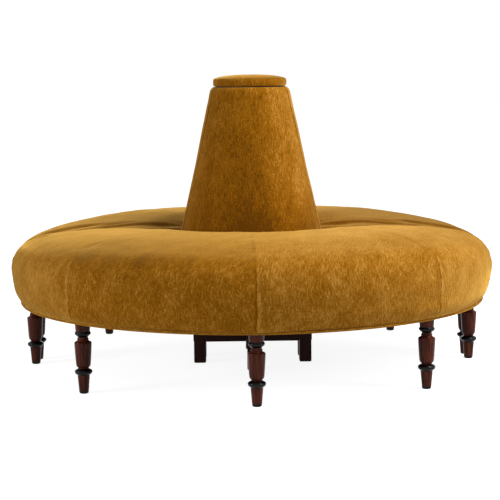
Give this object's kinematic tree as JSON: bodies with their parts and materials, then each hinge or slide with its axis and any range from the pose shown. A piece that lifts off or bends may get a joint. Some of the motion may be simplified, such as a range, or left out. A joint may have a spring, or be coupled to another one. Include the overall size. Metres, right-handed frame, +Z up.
{
  "type": "round sofa",
  "caption": "Round sofa of two half-ring upholstered seats around a tapering padded back with a lift-off cap, on turned wooden legs",
  "frame": {"origin": "on the floor in the middle of the sofa, on the axis of the cone, in the plane where the two halves meet", "axes": "+Z up; +Y points from the front half to the rear half, at right angles to the split; +X runs along the split"},
  "size_m": [1.6786, 1.68, 1.004],
  "materials": {
    "velvet": "gold velvet with a soft nap sheen",
    "welt_velvet": "gold velvet welt",
    "foam": "open-cell upholstery foam",
    "plywood": "unfinished plywood",
    "frame_wood": "unfinished hardwood",
    "dark_wood": "very dark stained wood, satin",
    "turned_wood": "reddish brown turned wood with ebonised rings, satin",
    "dust_cloth": "dark lining cloth",
    "black_metal": "black painted steel"
  },
  "bodies": {
    "front_half": {"front_seat_cover": "velvet", "front_seat_foam": "foam", "front_seat_deck": "plywood", "front_outer_rail": "frame_wood", "front_end_rail": "frame_wood", "front_cross_rail_left": "frame_wood", "front_cross_rail_mid": "frame_wood", "front_cross_rail_right": "frame_wood", "front_hem_welt": "welt_velvet", "front_dust_cover": "dust_cloth", "front_legs": "turned_wood", "front_leg_plates": "black_metal", "front_post_left": "dark_wood", "front_post_right": "dark_wood", "front_post_front": "dark_wood", "front_stretcher_long": "dark_wood", "front_stretcher_short": "dark_wood", "front_back_board": "plywood", "front_back_formers": "plywood", "front_back_skin": "plywood", "front_back_foam": "foam", "front_back_cover": "velvet", "front_back_lining": "dust_cloth", "front_tongues": "black_metal"},
    "rear_half": {"rear_seat_cover": "velvet", "rear_seat_foam": "foam", "rear_seat_deck": "plywood", "rear_outer_rail": "frame_wood", "rear_end_rail": "frame_wood", "rear_cross_rail_left": "frame_wood", "rear_cross_rail_mid": "frame_wood", "rear_cross_rail_right": "frame_wood", "rear_hem_welt": "welt_velvet", "rear_dust_cover": "dust_cloth", "rear_legs": "turned_wood", "rear_leg_plates": "black_metal", "rear_post_left": "dark_wood", "rear_post_right": "dark_wood", "rear_post_front": "dark_wood", "rear_stretcher_long": "dark_wood", "rear_stretcher_short": "dark_wood", "rear_back_board": "plywood", "rear_back_formers": "plywood", "rear_back_skin": "plywood", "rear_back_foam": "foam", "rear_back_cover": "velvet", "rear_back_lining": "dust_cloth", "rear_sockets": "black_metal"},
    "cap": {"cap_board": "plywood", "cap_foam": "foam", "cap_cover": "velvet", "cap_dowels": "frame_wood"}
  },
  "joints": [
    {"name": "rear_half_slide", "type": "slide", "parent": "front_half", "child": "rear_half", "axis": [0, 1, 0], "range_m": [0, 0.3]},
    {"name": "cap_lift", "type": "slide", "parent": "front_half", "child": "cap", "axis": [0, 0, 1], "range_m": [0, 0.12]}
  ]
}
